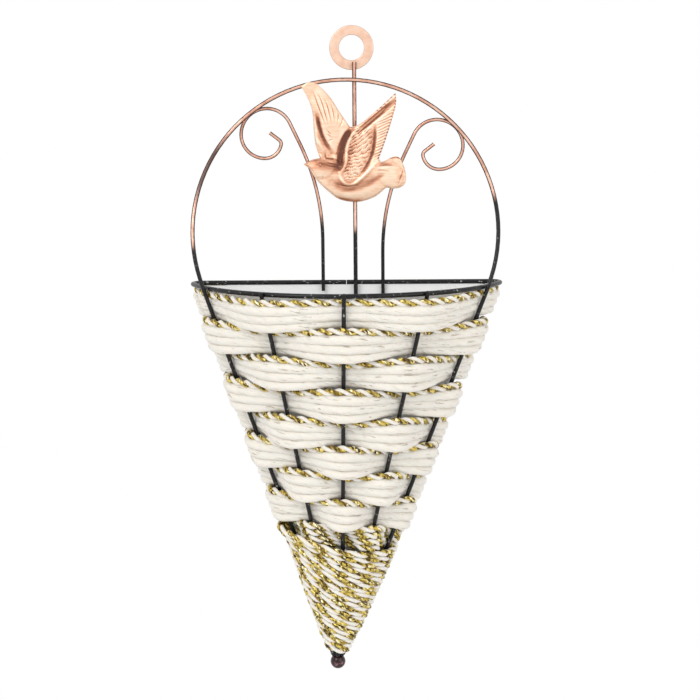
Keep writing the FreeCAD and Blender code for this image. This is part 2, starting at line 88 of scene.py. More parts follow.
def node_maker(tree):
    """A function that adds a node to the tree, with its settings and inputs."""
    def node(kind, inputs=(), **settings):
        made = tree.nodes.new(kind)
        for key, value in settings.items():
            setattr(made, key, value)
        for key, value in dict(inputs).items():
            if isinstance(value, bpy.types.NodeSocket):
                tree.links.new(value, made.inputs[key])
            else:
                made.inputs[key].default_value = value
        return made

    return node


def new_finish(name):
    """A new material, its shader, a function that adds a node, and its links."""
    finish = bpy.data.materials.new(name)
    finish.use_nodes = True
    tree = finish.node_tree
    return finish, tree.nodes["Principled BSDF"], node_maker(tree), tree.links


def colour_steps(node, factor, steps):
    """A colour ramp: steps are (place, colour)."""
    ramp = node("ShaderNodeValToRGB", {"Fac": factor})
    elements = ramp.color_ramp.elements
    while len(elements) < len(steps):
        elements.new(0.5)
    for element, (place, colour) in zip(elements, steps):
        element.position = place
        element.color = (*colour, 1)
    return ramp.outputs["Color"]


def roughen(node, links, shader, height, strength, distance):
    """Bump from a height."""
    bump = node("ShaderNodeBump", {"Height": height, "Strength": strength,
                                   "Distance": distance})
    links.new(bump.outputs["Normal"], shader.inputs["Normal"])


def pale_copper():
    finish, shader, node, links = new_finish("pale_copper")
    place = node("ShaderNodeTexCoord").outputs["Object"]
    cloud = node("ShaderNodeTexNoise", {"Vector": place, "Scale": 160.0, "Detail": 6.0})
    tint = colour_steps(node, cloud.outputs["Fac"],
                        [(0.3, (0.80, 0.50, 0.36)), (0.7, (0.93, 0.66, 0.50))])
    # painted shade: the washer's flanks, turned sideways, are darker
    facing = node("ShaderNodeSeparateXYZ", {
        "Vector": node("ShaderNodeTexCoord").outputs["Normal"]})
    flat = node("ShaderNodeMath", {0: facing.outputs["Y"]}, operation="ABSOLUTE")
    painted_flank_shade = node("ShaderNodeMapRange", {"Value": flat.outputs[0], "From Min": 0.35,
                                       "From Max": 0.9})
    edged = node("ShaderNodeMix", {0: painted_flank_shade.outputs["Result"], 6: (0.34, 0.17, 0.11, 1),
                                   7: tint}, data_type="RGBA")
    links.new(edged.outputs[2], shader.inputs["Base Color"])
    shader.inputs["Metallic"].default_value = 0.55
    shader.inputs["Roughness"].default_value = 0.34
    fine = node("ShaderNodeTexNoise", {"Vector": place, "Scale": 900.0, "Detail": 3.0})
    roughen(node, links, shader, fine.outputs["Fac"], 0.12, 0.0003)
    return finish


washer = ring_of("hanging_washer_plated", rounded(
    [(WASHER_IN, WASHER_HALF), (WASHER_OUT, WASHER_HALF),
     (WASHER_OUT, -WASHER_HALF), (WASHER_IN, -WASHER_HALF)], WASHER_EDGE), 128)
washer.data.materials.append(pale_copper())
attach(washer, "root")
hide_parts("hanging_washer")

# ---------------------------------------------------------------- painted wires
# Round steel wire. Everything is dipped in black gloss; above the basket the wires are
# then brushed with copper, which ends in a soft edge. Painted shade darkens their flanks
# and the hoop's left shoulder.
COPPER_ENDS = {"spine_wire": (-152.0, -152.0), "hoop_wire": (-163.0, -124.0),
               "scroll_left": (-145.0, -145.0), "scroll_right": (-147.0, -147.0)}
# painted shade: less copper shows round this point on the hoop's left shoulder
SHADED_SHOULDER = (-0.131, -0.03, -0.092)  # on the hoop's left shoulder, in metres


def wire_paint(name, copper_ends=None):
    """Black gloss, with copper above a height that may differ left and right."""
    finish, shader, node, links = new_finish(name)
    coords = node("ShaderNodeTexCoord")
    place = coords.outputs["Object"]
    fleck = node("ShaderNodeTexNoise", {"Vector": place, "Scale": 420.0, "Detail": 4.0})
    # near-black gloss; its sparse pale specks are painted highlights
    black = colour_steps(node, fleck.outputs["Fac"],
                         [(0.35, (0.004, 0.004, 0.005)), (0.64, (0.012, 0.011, 0.012)),
                          (0.70, (0.40, 0.39, 0.38))])
    roughen(node, links, shader, fleck.outputs["Fac"], 0.25, 0.0004)
    shader.inputs["Roughness"].default_value = 0.3
    shader.inputs["Specular IOR Level"].default_value = 0.3
    if copper_ends is None:
        links.new(black, shader.inputs["Base Color"])
        return finish
    left, right = copper_ends
    axes = node("ShaderNodeSeparateXYZ", {"Vector": place})
    facing = node("ShaderNodeSeparateXYZ", {"Vector": coords.outputs["Normal"]})
    edge = node("ShaderNodeMapRange", {"Value": axes.outputs["X"], "From Min": -0.06,
                                       "From Max": 0.06, "To Min": left / 1000,
                                       "To Max": right / 1000})
    above = node("ShaderNodeMath", {0: axes.outputs["Z"], 1: edge.outputs["Result"]},
                 operation="SUBTRACT")
    drift = node("ShaderNodeTexNoise", {"Vector": place, "Scale": 60.0, "Detail": 3.0})
    uneven = node("ShaderNodeMath", {0: drift.outputs["Fac"], 1: 0.016, 2: above.outputs[0]},
                  operation="MULTIPLY_ADD")
    painted = node("ShaderNodeMapRange", {"Value": uneven.outputs[0], "From Min": 0.002,
                                          "From Max": 0.016}, interpolation_type="SMOOTHSTEP")
    # copper shows where the wire faces front or back; its flanks are painted shade
    turned = node("ShaderNodeMath", {0: facing.outputs["Y"]}, operation="ABSOLUTE")
    wander = node("ShaderNodeMath", {0: fleck.outputs["Fac"], 1: 0.3, 2: turned.outputs[0]},
                  operation="MULTIPLY_ADD")
    front = node("ShaderNodeMapRange", {"Value": wander.outputs[0], "From Min": 0.90,
                                        "From Max": 1.08}, interpolation_type="SMOOTHSTEP")
    # painted shade on the hoop's left shoulder
    shoulder = node("ShaderNodeVectorMath", {0: place, 1: SHADED_SHOULDER}, operation="DISTANCE")
    shoulder_shade = node("ShaderNodeMapRange", {"Value": shoulder.outputs["Value"], "From Min": 0.018,
                                       "From Max": 0.045, "To Min": 0.15, "To Max": 1.0},
                interpolation_type="SMOOTHSTEP")
    lit_share = node("ShaderNodeMath", {0: front.outputs["Result"], 1: shoulder_shade.outputs["Result"]},
                   operation="MULTIPLY")
    copper_and_lit = node("ShaderNodeMath", {0: painted.outputs["Result"], 1: lit_share.outputs[0]},
                 operation="MULTIPLY")
    copper = colour_steps(node, drift.outputs["Fac"],
                          [(0.3, (0.55, 0.26, 0.18)), (0.5, (0.77, 0.44, 0.32)),
                           (0.72, (0.90, 0.62, 0.50))])
    # painted shade: in the copper zone the flanks are dark brown
    flank = node("ShaderNodeMix", {0: painted.outputs["Result"], 6: black,
                                   7: (0.03, 0.008, 0.008, 1)}, data_type="RGBA")
    mixed = node("ShaderNodeMix", {0: copper_and_lit.outputs[0], 6: flank.outputs[2], 7: copper},
                 data_type="RGBA")
    links.new(mixed.outputs[2], shader.inputs["Base Color"])
    metal = node("ShaderNodeMath", {0: copper_and_lit.outputs[0], 1: 0.75}, operation="MULTIPLY")
    links.new(metal.outputs[0], shader.inputs["Metallic"])
    return finish


def repaint(name, finish):
    """Gives a CAD node its finish."""
    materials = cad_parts[name].data.materials
    materials.clear()
    materials.append(finish)


black_gloss = wire_paint("black_gloss")
for name in ("rim_wire", "front_stake_left", "front_stake_centre", "front_stake_right",
             "back_stake_left", "back_stake_right"):
    repaint(name, black_gloss)
for name, ends in COPPER_ENDS.items():
    repaint(name, wire_paint(name + "_paint", ends))

# ---------------------------------------------------------------- tip ball
# A turned ball, dipped dark brown and glossy. It sits on the gathered ends of the seven
# stakes and covers them.


def ball_paint():
    finish, shader, node, links = new_finish("brown_gloss")
    place = node("ShaderNodeTexCoord").outputs["Object"]
    cloud = node("ShaderNodeTexNoise", {"Vector": place, "Scale": 260.0, "Detail": 5.0})
    # dark brown gloss; the sparse pale pink blotches are painted highlights
    tint = colour_steps(node, cloud.outputs["Fac"],
                        [(0.38, (0.008, 0.004, 0.005)), (0.60, (0.045, 0.013, 0.017)),
                         (0.70, (0.42, 0.22, 0.24))])
    links.new(tint, shader.inputs["Base Color"])
    shader.inputs["Roughness"].default_value = 0.16
    shader.inputs["Specular IOR Level"].default_value = 0.35
    roughen(node, links, shader, cloud.outputs["Fac"], 0.3, 0.0006)
    return finish


repaint("tip_ball", ball_paint())

# ---------------------------------------------------------------- woven rope and cord
# Twisted paper rope, soft and ivory, in three strands under one two-ply cord of white
# paper and gold tinsel. They go round the stakes in one long spiral, in front of a stake
# and behind it by turns. Over a stake the strands spread and bulge; behind it they crowd.
STAKES = {  # (x, y) at the rim, at the waist and at the tip
    "back_left": ((-128.2, 0.5), (-49.2, 0.5), (-17.6, 0.5)),
    "side_left": ((-123.7, -43.1), (-47.7, -13.5), (-20.0, -2.5)),
    "left": ((-72.6, -89.6), (-31.4, -28.3), (-19.1, -6.2)),
    "centre": ((-5.7, -106.5), (-10.0, -33.7), (-15.7, -7.8)),
    "right": ((61.2, -89.6), (11.4, -28.3), (-12.3, -6.2)),
    "side_right": ((112.3, -43.1), (27.7, -13.5), (-11.4, -2.5)),
    "back_right": ((116.8, 0.5), (29.2, 0.5), (-13.8, 0.5)),
}
ROUND = list(STAKES)
RIM_Z, WAIST_Z, TIP_Z = -196.9, -423.9, -522.9
ROW_SHARE = dict(zip(ROUND, (0.0, 0.12, 0.20, 0.28, 0.36, 0.47, 0.66)))
ROW_PITCH, ROW_TURNS, ROW_EASING = 24.3, 8, 4
ROW_HALF = 12.15
ROW_TAIL = 0.93  # how much of the flat back the last turn crosses
BAND_TOP = RIM_Z - 2.3
WIRE = 1.75  # radius of a stake
ROPE, CORD = 3.0, 2.35  # radius of the solids' strands
ROPE_FULL, CORD_FULL = 4.5, 3.2  # soft strands fill the room between them
ROPE_LAY = 0.046  # length of one twist, in metres
# below the band's top edge: the cord, then the three ropes
LAYERS = {"gold_cord": 2.35, "white_rope_upper": 8.05, "white_rope_middle": 14.4,
          "white_rope_lower": 20.75}
SPREAD_OVER, SPREAD_BEHIND = 1.24, 0.80
FIRST_OVER, FIRST_BEHIND = (1.5, 1.1), (0.5, 0.95)  # the first row's drop and spread
PILE_STEP, PILE_DEPTH = 6.1, 1.4
STAKE_GAP, CORNER_GAP, END_GAP = 0.2, 1.2, 0.9
CORNER_TURNS, CORNER_SLOPE = (-55, -18, 18, 55), 0.05
HEAD_RUN = 18
STEP = 1.0
# as the tree takes them: lengths in metres
ROPE_LAID = {"Radius": ROPE_FULL / 1000, "Plies": 3.0, "Lay length": ROPE_LAY,
             "Groove": 0.07, "Facets": 18, "Step": 0.0015, "Unevenness": 0.14}
CORD_LAID = {"Radius": CORD_FULL / 1000, "Plies": 2.0, "Lay length": 0.0175,
             "Groove": 0.72, "Facets": 22, "Step": 0.0012, "Unevenness": 0.12}


def stake_at(stake, z):
    rim, waist, tip = (Vector((*p, 0)) for p in STAKES[stake])
    if z > WAIST_Z:
        place = rim.lerp(waist, (RIM_Z - z) / (RIM_Z - WAIST_Z))
    else:
        place = waist.lerp(tip, (WAIST_Z - z) / (WAIST_Z - TIP_Z))
    return Vector((place.x, place.y, z))


def away(stake, z):
    """Level direction from the basket's inside through a stake."""
    ring = [stake_at(name, z) for name in ROUND]
    here = ROUND.index(stake)
    ahead = (ring[(here + 1) % len(ring)] - ring[here]).normalized()
    back = (ring[here - 1] - ring[here]).normalized()
    return -(ahead + back).normalized()


def band_top(turn, stake):
    ease = max(0, min(1, turn / ROW_EASING))
    return BAND_TOP - ROW_PITCH * (turn + ease * ROW_SHARE[stake])


def corner_points(stake, z, way, reach):
    """The bend round a back stake, outside it, with the strand going down as it turns."""
    axis = stake_at(stake, z)
    side = Vector((way.y, -way.x, 0))
    points = []
    for turn in CORNER_TURNS:
        # away from the bisector, first towards where the strand comes from
        angle = math.radians(turn)
        points.append(axis + way * (reach * math.cos(angle)) - side * (reach * math.sin(angle))
                      - Vector((0, 0, CORNER_SLOPE * reach * angle)))
    return points


def smooth_line(points, step):
    """A centripetal curve through the points, cut into even steps."""
    points = [2 * points[0] - points[1]] + list(points) + [2 * points[-1] - points[-2]]
    fine = []
    for a, b, c, d in zip(points, points[1:], points[2:], points[3:]):
        t1 = max((b - a).length, 1e-6) ** 0.5
        t2 = t1 + max((c - b).length, 1e-6) ** 0.5
        t3 = t2 + max((d - c).length, 1e-6) ** 0.5
        pieces = max(4, int((c - b).length / 1.5))
        for piece in range(pieces):
            t = t1 + (t2 - t1) * piece / pieces
            ab = a * ((t1 - t) / t1) + b * (t / t1)
            bc = b * ((t2 - t) / (t2 - t1)) + c * ((t - t1) / (t2 - t1))
            cd = c * ((t3 - t) / (t3 - t2)) + d * ((t - t2) / (t3 - t2))
            abc = ab * ((t2 - t) / t2) + bc * (t / t2)
            bcd = bc * ((t3 - t) / (t3 - t1)) + cd * ((t - t1) / (t3 - t1))
            fine.append(abc * ((t2 - t) / (t2 - t1)) + bcd * ((t - t1) / (t2 - t1)))
    fine.append(points[-2])
    line = np.array([tuple(p) for p in fine])
    gone = np.concatenate([[0], np.cumsum(np.linalg.norm(np.diff(line, axis=0), axis=1))])
    even = np.linspace(0, gone[-1], int(gone[-1] / step) + 1)
    return np.column_stack([np.interp(even, gone, line[:, axis]) for axis in range(3)])


def woven_line(first, turns, depth, radius, tail):
    """The route of one strand of the band. depth is below the band's top edge."""
    full = ROPE_FULL if radius == ROPE else CORD_FULL
    points = []
    for turn in range(first, first + turns):
        for place, stake in enumerate(ROUND):
            back = stake.startswith("back")
            behind = (place + turn) % 2 == 1 and not back
            spread = 1 if back else SPREAD_BEHIND if behind else SPREAD_OVER
            z = band_top(turn, stake) - ROW_HALF + (ROW_HALF - depth) * spread
            if turn == 0 and not back:
                # the first row hangs from the rim: it can only spread downwards
                drop, spread = FIRST_BEHIND if behind else FIRST_OVER
                z = band_top(0, stake) - drop - depth * spread
            way = away(stake, z)
            if back:
                points += corner_points(stake, z, way, WIRE + CORNER_GAP + full)
                continue
            reach = WIRE + STAKE_GAP + full
            if behind:
                # crowded strands pile up: every second one lies further in
                layer = (depth - CORD) / PILE_STEP
                reach = -(reach + (PILE_DEPTH if round(layer) % 2 else 0.0))
            points.append(stake_at(stake, z) + way * reach)
    last = band_top(first + turns, "back_left") - depth
    end = stake_at("back_left", last) + Vector((0, WIRE + END_GAP + radius, 0))
    points.append(points[-1].lerp(end, tail))
    head = band_top(first - 1, "back_right") - depth
    start = stake_at("back_right", head) + Vector((0, WIRE + END_GAP + radius, 0))
    run = start - points[0]
    points.insert(0, points[0] + run * (HEAD_RUN / run.length))
    return smooth_line(points, STEP)


def group_socket(tree, name, kind, default=None, output=False):
    socket = tree.interface.new_socket(name, socket_type=kind,
                                       in_out="OUTPUT" if output else "INPUT")
    if default is not None:
        socket.default_value = default
    return socket


def laid_strand_tree():
    """Geometry nodes: plies laid round each other along a line."""
    tree = bpy.data.node_groups.new("laid_strand", "GeometryNodeTree")
    group_socket(tree, "Line", "NodeSocketGeometry")
    group_socket(tree, "Radius", "NodeSocketFloat", 0.003)
    group_socket(tree, "Plies", "NodeSocketFloat", 3.0)
    group_socket(tree, "Lay length", "NodeSocketFloat", 0.02)
    group_socket(tree, "Groove", "NodeSocketFloat", 0.1)
    group_socket(tree, "Facets", "NodeSocketInt", 16)
    group_socket(tree, "Step", "NodeSocketFloat", 0.0012)
    group_socket(tree, "Unevenness", "NodeSocketFloat", 0.06)
    group_socket(tree, "Finish", "NodeSocketMaterial")
    group_socket(tree, "Strand", "NodeSocketGeometry", output=True)
    node = node_maker(tree)

    def maths(kind, *values):
        return node("ShaderNodeMath", dict(enumerate(values)), operation=kind).outputs[0]

    given = node("NodeGroupInput").outputs
    even = node("GeometryNodeResampleCurve", {"Curve": given["Line"], "Length": given["Step"]},
                mode="LENGTH")
    along = node("GeometryNodeSplineParameter").outputs["Length"]
    marked = node("GeometryNodeStoreNamedAttribute",
                  {"Geometry": even.outputs["Curve"], "Name": "along", "Value": along},
                  data_type="FLOAT", domain="POINT")
    turns = maths("DIVIDE", along, given["Lay length"])
    tilted = node("GeometryNodeSetCurveTilt", {"Curve": marked.outputs["Geometry"],
                                               "Tilt": maths("MULTIPLY", turns, math.tau)})
    lumps = node("ShaderNodeTexNoise", {"Vector": node("GeometryNodeInputPosition").outputs[0],
                                        "Scale": 90.0, "Detail": 2.0})
    uneven = maths("MULTIPLY_ADD", maths("SUBTRACT", lumps.outputs["Fac"], 0.5),
                   maths("MULTIPLY", given["Unevenness"], 2.0), 1.0)
    sized = node("GeometryNodeSetCurveRadius", {"Curve": tilted.outputs["Curve"],
                                                "Radius": uneven})
    circle = node("GeometryNodeCurvePrimitiveCircle", {"Resolution": given["Facets"],
                                                       "Radius": 1.0}, mode="RADIUS")
    angle = maths("MULTIPLY", node("GeometryNodeSplineParameter").outputs["Factor"], math.tau)
    lobe = maths("ABSOLUTE", maths("COSINE", maths("MULTIPLY", angle,
                                                   maths("MULTIPLY", given["Plies"], 0.5))))
    shape = maths("MULTIPLY", given["Radius"],
                  maths("SUBTRACT", 1.0, maths("MULTIPLY", given["Groove"],
                                               maths("SUBTRACT", 1.0, lobe))))
    named = circle.outputs["Curve"]
    for name, value in (("lay_x", maths("COSINE", angle)), ("lay_y", maths("SINE", angle))):
        named = node("GeometryNodeStoreNamedAttribute",
                     {"Geometry": named, "Name": name, "Value": value},
                     data_type="FLOAT", domain="POINT").outputs["Geometry"]
    section = node("GeometryNodeSetPosition", {
        "Geometry": named,
        "Position": node("ShaderNodeVectorMath",
                         {0: node("GeometryNodeInputPosition").outputs[0], "Scale": shape},
                         operation="SCALE").outputs[0]})
    swept = node("GeometryNodeCurveToMesh", {"Curve": sized.outputs["Curve"],
                                             "Profile Curve": section.outputs["Geometry"],
                                             "Fill Caps": True})
    soft = node("GeometryNodeSetShadeSmooth", {"Geometry": swept.outputs["Mesh"]})
    whole = node("GeometryNodeRealizeInstances", {"Geometry": soft.outputs["Geometry"]})
    dressed = node("GeometryNodeSetMaterial", {"Geometry": whole.outputs["Geometry"],
                                               "Material": given["Finish"]})
    tree.links.new(dressed.outputs["Geometry"], node("NodeGroupOutput").inputs["Strand"])
    return tree


LAID_STRAND = laid_strand_tree()


def laid_strand(name, lines, finish, values):
    """Runs the tree on one or more lines and keeps the result as a plain mesh."""
    curve = bpy.data.curves.new(name + "_line", "CURVE")
    curve.dimensions = "3D"
    for line in lines:
        spline = curve.splines.new("POLY")
        spline.points.add(len(line) - 1)
        spline.points.foreach_set("co", np.column_stack(
            [line * 0.001, np.ones(len(line))]).ravel())
    guide = bpy.data.objects.new(name + "_line", curve)
    bpy.context.collection.objects.link(guide)
    laying = guide.modifiers.new("laying", "NODES")
    laying.node_group = LAID_STRAND
    for socket in LAID_STRAND.interface.items_tree:
        if socket.in_out == "INPUT" and socket.name in values:
            laying[socket.identifier] = values[socket.name]
        elif socket.in_out == "INPUT" and socket.name == "Finish":
            laying[socket.identifier] = finish
    bpy.context.view_layer.update()
    mesh = bpy.data.meshes.new_from_object(
        guide.evaluated_get(bpy.context.evaluated_depsgraph_get()))
    bpy.data.objects.remove(guide)
    strand = bpy.data.objects.new(name, mesh)
    bpy.context.collection.objects.link(strand)
    return strand


def lay_parts(node):
    """The place on a strand's section, and how far along it is."""
    return {name: node("ShaderNodeAttribute", attribute_name=name).outputs["Fac"]
            for name in ("lay_x", "lay_y", "along")}


def paper_rope_finish():
    finish, shader, node, links = new_finish("ivory_paper")
    part = lay_parts(node)
    stretched = node("ShaderNodeMath", {0: part["along"], 1: 70.0}, operation="MULTIPLY")
    fibre_place = node("ShaderNodeCombineXYZ", {"X": part["lay_x"], "Y": part["lay_y"],
                                                "Z": stretched.outputs[0]})
    fibre = node("ShaderNodeTexNoise", {"Vector": fibre_place.outputs[0], "Scale": 3.2,
                                        "Detail": 6.0, "Roughness": 0.65})
    # creases in the paper: short dashes along the rope, pressed in and darkened as painted shade
    round_place = node("ShaderNodeVectorRotate", {
        "Vector": fibre_place.outputs[0],
        "Angle": node("ShaderNodeMath", {0: part["along"], 1: 0.85 * math.tau / ROPE_LAY},
                      operation="MULTIPLY").outputs[0]}, rotation_type="Z_AXIS")
    drawn_out = node("ShaderNodeVectorMath", {0: round_place.outputs[0], 1: (1, 1, 0.5)},
                     operation="MULTIPLY")
    folded = node("ShaderNodeTexNoise", {"Vector": drawn_out.outputs[0], "Scale": 2.3,
                                         "Detail": 3.0, "Distortion": 0.4})
    crease_and_shade = node("ShaderNodeMapRange", {"Value": folded.outputs["Fac"], "From Min": 0.29,
                                         "From Max": 0.40, "To Min": 0.7, "To Max": 0.0},
                  interpolation_type="SMOOTHSTEP")
    place = node("ShaderNodeTexCoord").outputs["Object"]
    cloud = node("ShaderNodeTexNoise", {"Vector": place, "Scale": 45.0, "Detail": 3.0})
    paper = colour_steps(node, fibre.outputs["Fac"],
                         [(0.28, (0.78, 0.72, 0.61)), (0.42, (0.88, 0.835, 0.745)),
                          (0.75, (0.93, 0.90, 0.835))])
    warm = node("ShaderNodeMix", {0: cloud.outputs["Fac"], 6: paper,
                                  7: (0.92, 0.85, 0.76, 1)}, data_type="RGBA")
    crease_shaded = node("ShaderNodeMix", {0: crease_and_shade.outputs["Result"], 6: warm.outputs[2],
                                     7: (0.36, 0.30, 0.22, 1)}, data_type="RGBA")
    links.new(crease_shaded.outputs[2], shader.inputs["Base Color"])
    shader.inputs["Roughness"].default_value = 0.72
    shader.inputs["Sheen Weight"].default_value = 0.15
    shader.inputs["Subsurface Weight"].default_value = 0.35
    shader.inputs["Subsurface Radius"].default_value = (1.0, 0.8, 0.6)
    shader.inputs["Subsurface Scale"].default_value = 0.007
    # crumpled paper: sharp little folds that follow the twist
    crumple = node("ShaderNodeTexNoise", {"Vector": fibre_place.outputs[0], "Scale": 1.5,
                                          "Detail": 2.0, "Distortion": 0.7})
    fold = node("ShaderNodeMath", {0: node("ShaderNodeMath", {
        0: crumple.outputs["Fac"], 1: 0.5}, operation="SUBTRACT").outputs[0]},
        operation="ABSOLUTE")
    puckered = node("ShaderNodeMath", {0: fold.outputs[0], 1: 4.5,
                                       2: fibre.outputs["Fac"]}, operation="MULTIPLY_ADD")
    relief = node("ShaderNodeMath", {0: crease_and_shade.outputs["Result"], 1: -0.6,
                                     2: puckered.outputs[0]}, operation="MULTIPLY_ADD")
    roughen(node, links, shader, relief.outputs[0], 0.6, 0.0008)
    return finish


def tinsel_finish():
    """White paper ply and gold tinsel ply of the cord."""
    finish, shader, node, links = new_finish("gold_and_white")
    part = lay_parts(node)
    stretched = node("ShaderNodeMath", {0: part["along"], 1: 300.0}, operation="MULTIPLY")
    place = node("ShaderNodeCombineXYZ", {"X": part["lay_x"], "Y": part["lay_y"],
                                          "Z": stretched.outputs[0]})
    strands = node("ShaderNodeTexNoise", {"Vector": place.outputs[0], "Scale": 2.0,
                                          "Detail": 3.0})
    glint = node("ShaderNodeTexVoronoi", {"Vector": place.outputs[0], "Scale": 1.7})
    ragged = node("ShaderNodeMath", {0: strands.outputs["Fac"], 1: 0.9, 2: part["lay_x"]},
                  operation="MULTIPLY_ADD")
    # the white ply turns orange towards the gold ply
    orange_edge = node("ShaderNodeMapRange", {"Value": ragged.outputs[0], "From Min": 0.02,
                                          "From Max": 0.30, "To Max": 0.8})
    gold = node("ShaderNodeMapRange", {"Value": ragged.outputs[0], "From Min": 0.20,
                                       "From Max": 0.36})
    # the tinsel's darkest facets are painted shade and its palest glints painted highlights
    shine = colour_steps(node, node("ShaderNodeSeparateColor", {
        "Color": glint.outputs["Color"]}).outputs["Red"],
        [(0.12, (0.05, 0.03, 0.006)), (0.34, (0.26, 0.17, 0.02)),
         (0.58, (0.58, 0.44, 0.07)), (0.82, (0.74, 0.58, 0.15)), (0.95, (0.97, 0.90, 0.60))])
    paper = colour_steps(node, strands.outputs["Fac"],
                         [(0.3, (0.80, 0.74, 0.64)), (0.7, (0.92, 0.89, 0.84))])
    edged = node("ShaderNodeMix", {0: orange_edge.outputs["Result"], 6: paper,
                                   7: (0.78, 0.46, 0.26, 1)}, data_type="RGBA")
    mixed = node("ShaderNodeMix", {0: gold.outputs["Result"], 6: edged.outputs[2], 7: shine},
                 data_type="RGBA")
    links.new(mixed.outputs[2], shader.inputs["Base Color"])
    shader.inputs["Subsurface Weight"].default_value = 0.3
    shader.inputs["Subsurface Radius"].default_value = (1.0, 0.75, 0.45)
    shader.inputs["Subsurface Scale"].default_value = 0.005
    metal = node("ShaderNodeMath", {0: gold.outputs["Result"], 1: 0.5}, operation="MULTIPLY")
    links.new(metal.outputs[0], shader.inputs["Metallic"])
    rough = node("ShaderNodeMapRange", {"Value": gold.outputs["Result"], "To Min": 0.7,
                                        "To Max": 0.32})
    links.new(rough.outputs["Result"], shader.inputs["Roughness"])
    roughen(node, links, shader, glint.outputs["Distance"], 0.4, 0.0005)
    return finish


IVORY, GOLD_WHITE = paper_rope_finish(), tinsel_finish()
for name, depth in LAYERS.items():
    is_cord = name == "gold_cord"
    line = woven_line(0, ROW_TURNS, depth, CORD if is_cord else ROPE, ROW_TAIL)
    strand = laid_strand(name + "_laid", [line], GOLD_WHITE if is_cord else IVORY,
                         CORD_LAID if is_cord else ROPE_LAID)
    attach(strand, "root")
    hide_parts(name)

# ---------------------------------------------------------------- gold band
# Below the paper rope the gold and white cord is woven alone: four turns side by side,
# in front of the same stakes and behind them, with no tie of their own.
BAND_CORDS, BAND_STEP, BAND_TAIL = 4, 5.05, 0.15
band = laid_strand(
    "gold_band_laid",
    [woven_line(ROW_TURNS, 1, CORD + place * BAND_STEP, CORD, BAND_TAIL)
     for place in range(BAND_CORDS)], GOLD_WHITE, CORD_LAID)
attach(band, "root")
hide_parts("gold_band")

# ---------------------------------------------------------------- wound tip
# The same cord, wound tight round all seven stakes down to the ball. Its turns hang lower
# on the right; at the top they are piled up on the left.
WINDING_TURNS = 21
WINDING_TOP = -405.0
# how far a turn hangs down to the right: at most, by its width, and at the tip
WINDING_STEEP, WINDING_SLOPE, WINDING_END = 19.0, 0.26, 2.5
WINDING_BEND, WINDING_GAP = 2.4, 0.3
PILED, PILED_TURNS = 5.0, 2.2
TUCKED, TUCKED_BEND = 0.75, 4  # the last turns are drawn in under the ball's edge
WINDING_LAID = {**CORD_LAID, "Radius": 0.0030, "Lay length": 0.023, "Groove": 0.55}


def winding_line():
    middle = WINDING_TOP - WINDING_STEEP / 2
    pitch = (middle - WINDING_END / 2 - TIP_Z - CORD_FULL) / WINDING_TURNS
    left, right = STAKES["back_left"][1][0], STAKES["back_right"][1][0]
    points = []
    for turn in range(WINDING_TURNS):
        for place, stake in enumerate(ROUND):
            gone = turn + place / len(ROUND)
            width = (right - left) * (1 - gone / WINDING_TURNS)
            tilt = min(WINDING_STEEP, WINDING_END + WINDING_SLOPE * width)
            share = (STAKES[stake][1][0] - left) / (right - left)
            z = middle - pitch * gone + tilt * ((1 - share) ** WINDING_BEND - 0.5)
            way = away(stake, z)
            piled = PILED * max(0, 1 - gone / PILED_TURNS) * (1 - share)
            tucked = 1 - TUCKED * (gone / WINDING_TURNS) ** TUCKED_BEND
            points.append(stake_at(stake, z)
                          + way * ((WIRE + WINDING_GAP + CORD_FULL) * tucked + piled))
    return smooth_line(points, STEP)


winding = laid_strand("gold_winding_laid", [winding_line()], GOLD_WHITE, WINDING_LAID)
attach(winding, "root")
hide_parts("gold_winding")

# ---------------------------------------------------------------- liner
# A pocket of pale film between the frame and the plants, smooth, thin and matt: a bowed
# front with a floor, and a flat back. It stands inside the stakes, open at the mouth.


def film_finish():
    finish, shader, node, links = new_finish("pale_film")
    place = node("ShaderNodeTexCoord").outputs["Object"]
    folds = node("ShaderNodeTexNoise", {"Vector": place, "Scale": 22.0, "Detail": 4.0,
                                        "Distortion": 0.8})
    tint = colour_steps(node, folds.outputs["Fac"],
                        [(0.3, (0.88, 0.88, 0.875)), (0.7, (0.93, 0.93, 0.925))])
    links.new(tint, shader.inputs["Base Color"])
    shader.inputs["Roughness"].default_value = 0.42
    roughen(node, links, shader, folds.outputs["Fac"], 0.4, 0.003)
    return finish


film = film_finish()
for name in ("liner_front", "liner_back"):
    repaint(name, film)

# ---------------------------------------------------------------- dove
# A flying dove pressed from thin sheet, plated copper, with brown patina in its grooves,
# partly painted shade, and painted highlight on its raised forms.
# It lies on the hoop and on the right scroll, which hold it in front of the spine.
DOVE_PLACE = Vector((-1.9, -10.26, -97.2))
DOVE_SHEET, DOVE_EDGE = 1.1, 0.4  # thickness, and how far the sheet's edge turns back
DOVE_CELL, DOVE_EDGE_STEP = 0.55, 0.7  # the mesh's grid, and its steps along the outline
CELL_HEIGHT, CELL_CLEAR = 0.866, 0.45  # shares of a cell: between rows, and off the outline
DOVE_OUTLINE = [
    [(-38.5, 1), (-32, 4.5), (-25, 6)],
    [(-25, 6), (-28.5, 17), (-30, 30.5), (-31, 45), (-35, 56.5), (-40, 65.5)],
    [(-40, 65.5), (-34, 69), (-26.5, 67.5)],
    [(-26.5, 67.5), (-16, 56.5), (-8, 44), (0.5, 31.5)],
    [(0.5, 31.5), (7.5, 33.5), (23.5, 46), (38.5, 59.5)],
    [(38.5, 59.5), (39, 51.5), (35.5, 38), (29.5, 19), (24.5, 5.5)],
    [(24.5, 5.5), (26.5, 2.5), (33.5, 5.5), (39, 7), (42, 5.5)],
    [(42, 5.5), (45, -0.5), (47, -9), (46, -16), (42, -19), (35.5, -20), (30.5, -19)],
    [(30.5, -19), (21, -26.5), (9, -30.5), (-0.5, -30.5), (-10, -28), (-17.5, -22.5),
     (-23.5, -17), (-29.5, -10), (-33, -3.5)],
    [(-33, -3.5), (-38.5, 1)],
]
